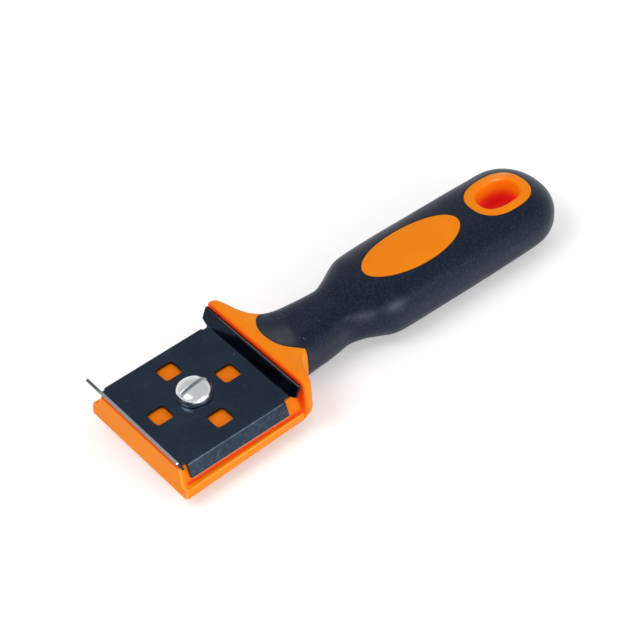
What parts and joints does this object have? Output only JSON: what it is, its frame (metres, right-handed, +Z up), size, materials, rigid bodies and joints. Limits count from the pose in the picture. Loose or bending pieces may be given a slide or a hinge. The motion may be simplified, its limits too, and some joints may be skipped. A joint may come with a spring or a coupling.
{
  "type": "pipe scraper",
  "caption": "Hand pipe scraper: square steel blade with turned-up scraping lips, clamped by a slotted screw on the head of an orange handle with a soft black grip and a hang hole.",
  "frame": {"origin": "middle of the bottom of the whole object's box, under the grip", "axes": "+X along the tool from the blade to the end of the handle, +Y across the tool, +Z up out of the blade's upper face along the screw"},
  "size_m": [0.1764, 0.0518, 0.0229],
  "materials": {
    "orange_plastic": "orange moulded plastic, satin",
    "black_rubber": "soft blue-black rubber, finely matt",
    "blued_steel": "dark blued sheet, semi-gloss, bare ground edges",
    "zinc_steel": "bright zinc plating",
    "brass": "turned brass"
  },
  "bodies": {
    "handle": {"handle_core": "orange_plastic", "grip_sleeve": "black_rubber", "threaded_insert": "brass"},
    "blade": {"scraper_blade": "blued_steel"},
    "screw": {"clamp_screw": "zinc_steel"}
  },
  "joints": [
    {"name": "blade_lift", "type": "slide", "parent": "handle", "child": "blade", "axis": [0, 0, 1], "range_m": [0, 0.007]},
    {"name": "screw_turn", "type": "hinge", "parent": "blade", "child": "screw", "pos_m": [-0.06308, 0, 0.0162], "axis": [0, 0, 1], "range_deg": [0, 2520]}
  ],
  "couplings": [
    {"joint": "screw_turn", "follows": "blade_lift", "rad_per_m": 6283.2}
  ]
}
